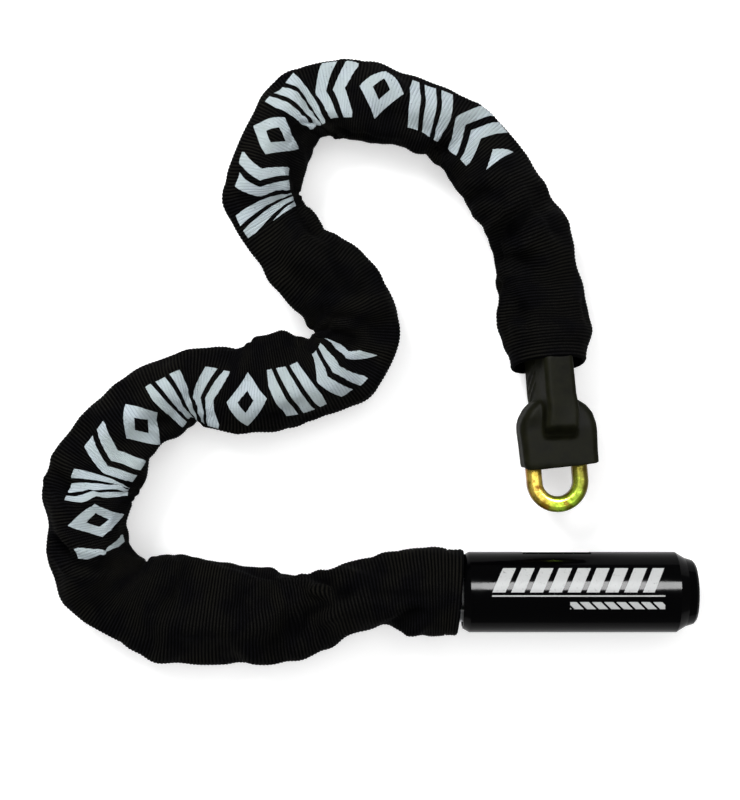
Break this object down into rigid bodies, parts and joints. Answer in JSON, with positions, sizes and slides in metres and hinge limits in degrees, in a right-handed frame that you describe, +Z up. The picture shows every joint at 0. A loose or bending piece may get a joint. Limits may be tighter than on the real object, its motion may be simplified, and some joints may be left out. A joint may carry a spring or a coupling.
{
  "type": "chain lock",
  "caption": "Bicycle chain lock: a cylinder lock with a rotary hook, a square-bar steel chain in a fabric sleeve, a rubber boot and a plated end link that enters the lock's side slot.",
  "frame": {"origin": "centre of the part's box in plan, on the surface that it lies on", "axes": "+X along the lock from its chain end to its key end, +Y across it on the side of the slot, +Z up"},
  "size_m": [0.283, 0.2604, 0.035],
  "materials": {
    "gloss_black": "gloss",
    "hardened_steel": "satin",
    "chain_steel": "satin",
    "yellow_zinc": "bright, faint iridescence",
    "cylinder_brass": "satin",
    "boot_rubber": "matte",
    "sleeve_fabric": "ribbed weave",
    "cover_plastic": "satin"
  },
  "bodies": {
    "link_11": {"link_11": "chain_steel"},
    "link_12": {"link_12": "chain_steel", "sleeve_06": "sleeve_fabric"},
    "link_13": {"link_13": "chain_steel"},
    "link_14": {"link_14": "chain_steel", "sleeve_07": "sleeve_fabric"},
    "link_15": {"link_15": "chain_steel"},
    "link_16": {"link_16": "chain_steel", "sleeve_08": "sleeve_fabric"},
    "link_17": {"link_17": "chain_steel"},
    "link_18": {"link_18": "chain_steel", "sleeve_09": "sleeve_fabric"},
    "link_19": {"link_19": "chain_steel"},
    "chain_end": {"link_20": "chain_steel", "link_21": "yellow_zinc", "boot": "boot_rubber", "sleeve_10": "sleeve_fabric"},
    "link_10": {"link_10": "chain_steel", "sleeve_05": "sleeve_fabric"},
    "link_09": {"link_09": "chain_steel"},
    "link_08": {"link_08": "chain_steel", "sleeve_04": "sleeve_fabric"},
    "link_07": {"link_07": "chain_steel"},
    "link_06": {"link_06": "chain_steel", "sleeve_03": "sleeve_fabric"},
    "link_05": {"link_05": "chain_steel"},
    "link_04": {"link_04": "chain_steel", "sleeve_02": "sleeve_fabric"},
    "link_03": {"link_03": "chain_steel"},
    "link_02": {"link_02": "chain_steel", "sleeve_01": "sleeve_fabric"},
    "link_01": {"link_01": "chain_steel"},
    "lock": {"lock_cover": "gloss_black", "lock_body": "hardened_steel", "chain_block": "hardened_steel", "anchor_pin": "hardened_steel", "block_pins": "hardened_steel", "cylinder_barrel": "cylinder_brass", "barrel_pin": "hardened_steel", "cap_gasket": "boot_rubber", "end_cap": "gloss_black", "cover_pivot": "hardened_steel"},
    "key_core": {"hook": "hardened_steel", "thrust_washer": "cylinder_brass", "retaining_ring": "hardened_steel", "tailpiece": "hardened_steel", "key_plug": "cylinder_brass", "locking_discs": "cylinder_brass", "disc_spacers": "hardened_steel", "sidebar": "hardened_steel", "drill_plate": "hardened_steel"},
    "dust_cover": {"dust_cover": "cover_plastic"}
  },
  "joints": [
    {"name": "link_hinge_01", "type": "hinge", "parent": "link_01", "child": "lock", "pos_m": [0.04749, -0.10056, 0.0175], "axis": [0, 0, -1], "range_deg": [-5, 7]},
    {"name": "link_hinge_02", "type": "hinge", "parent": "link_02", "child": "link_01", "pos_m": [0.02029, -0.09819, 0.0175], "axis": [0, 0, -1], "range_deg": [-12, 4]},
    {"name": "link_hinge_03", "type": "hinge", "parent": "link_03", "child": "link_02", "pos_m": [-0.02124, -0.10931, 0.0175], "axis": [0, 0, 1], "range_deg": [-15, 7]},
    {"name": "link_hinge_04", "type": "hinge", "parent": "link_04", "child": "link_03", "pos_m": [-0.04862, -0.11414, 0.0175], "axis": [0, 0, 1], "range_deg": [-20, 6]},
    {"name": "link_hinge_05", "type": "hinge", "parent": "link_05", "child": "link_04", "pos_m": [-0.09146, -0.11039, 0.0175], "axis": [0, 0, 1], "range_deg": [-25, 5]},
    {"name": "link_hinge_06", "type": "hinge", "parent": "link_06", "child": "link_05", "pos_m": [-0.11665, -0.09865, 0.0175], "axis": [0, 0, 1], "range_deg": [-50, 4]},
    {"name": "link_hinge_07", "type": "hinge", "parent": "link_07", "child": "link_06", "pos_m": [-0.12778, -0.05711, 0.0175], "axis": [0, 0, 1], "range_deg": [-45, 4]},
    {"name": "link_hinge_08", "type": "hinge", "parent": "link_08", "child": "link_07", "pos_m": [-0.11388, -0.03304, 0.0175], "axis": [0, 0, 1], "range_deg": [-25, 4]},
    {"name": "link_hinge_09", "type": "hinge", "parent": "link_09", "child": "link_08", "pos_m": [-0.07866, -0.00837, 0.0175], "axis": [0, 0, 1], "range_deg": [-50, 4]},
    {"name": "link_hinge_10", "type": "hinge", "parent": "link_10", "child": "link_09", "pos_m": [-0.05254, -0.01788, 0.0175], "axis": [0, 0, -1], "range_deg": [-6, 24]},
    {"name": "link_hinge_11", "type": "hinge", "parent": "link_11", "child": "link_10", "pos_m": [-0.011, -0.00675, 0.0175], "axis": [0, 0, -1], "range_deg": [-8, 5]},
    {"name": "link_hinge_12", "type": "hinge", "parent": "link_11", "child": "link_12", "pos_m": [-0.00381, 0.0201, 0.0175], "axis": [0, 0, 1], "range_deg": [-10, 6]},
    {"name": "link_hinge_13", "type": "hinge", "parent": "link_12", "child": "link_13", "pos_m": [-0.03421, 0.05051, 0.0175], "axis": [0, 0, -1], "range_deg": [-20, 6]},
    {"name": "link_hinge_14", "type": "hinge", "parent": "link_13", "child": "link_14", "pos_m": [-0.05016, 0.07328, 0.0175], "axis": [0, 0, -1], "range_deg": [-60, 3]},
    {"name": "link_hinge_15", "type": "hinge", "parent": "link_14", "child": "link_15", "pos_m": [-0.03198, 0.11225, 0.0175], "axis": [0, 0, -1], "range_deg": [-55, 0]},
    {"name": "link_hinge_16", "type": "hinge", "parent": "link_15", "child": "link_16", "pos_m": [-0.00461, 0.11708, 0.0175], "axis": [0, 0, -1], "range_deg": [-30, 2]},
    {"name": "link_hinge_17", "type": "hinge", "parent": "link_16", "child": "link_17", "pos_m": [0.0358, 0.10237, 0.0175], "axis": [0, 0, -1], "range_deg": [-25, 0]},
    {"name": "link_hinge_18", "type": "hinge", "parent": "link_17", "child": "link_18", "pos_m": [0.05546, 0.08271, 0.0175], "axis": [0, 0, -1], "range_deg": [-20, 1]},
    {"name": "link_hinge_19", "type": "hinge", "parent": "link_18", "child": "link_19", "pos_m": [0.07363, 0.04374, 0.0175], "axis": [0, 0, -1], "range_deg": [-20, 2]},
    {"name": "link_hinge_20", "type": "hinge", "parent": "link_19", "child": "chain_end", "pos_m": [0.07605, 0.01605, 0.0175], "axis": [0, 0, -1], "range_deg": [-15, 3]},
    {"name": "hook_turn", "type": "hinge", "parent": "lock", "child": "key_core", "pos_m": [0.10049, -0.10056, 0.0175], "axis": [1, 0, 0], "range_deg": [0, 86]},
    {"name": "cover_swing", "type": "hinge", "parent": "lock", "child": "dust_cover", "pos_m": [0.14049, -0.10056, 0.0231], "axis": [1, 0, 0], "range_deg": [0, 95]}
  ]
}
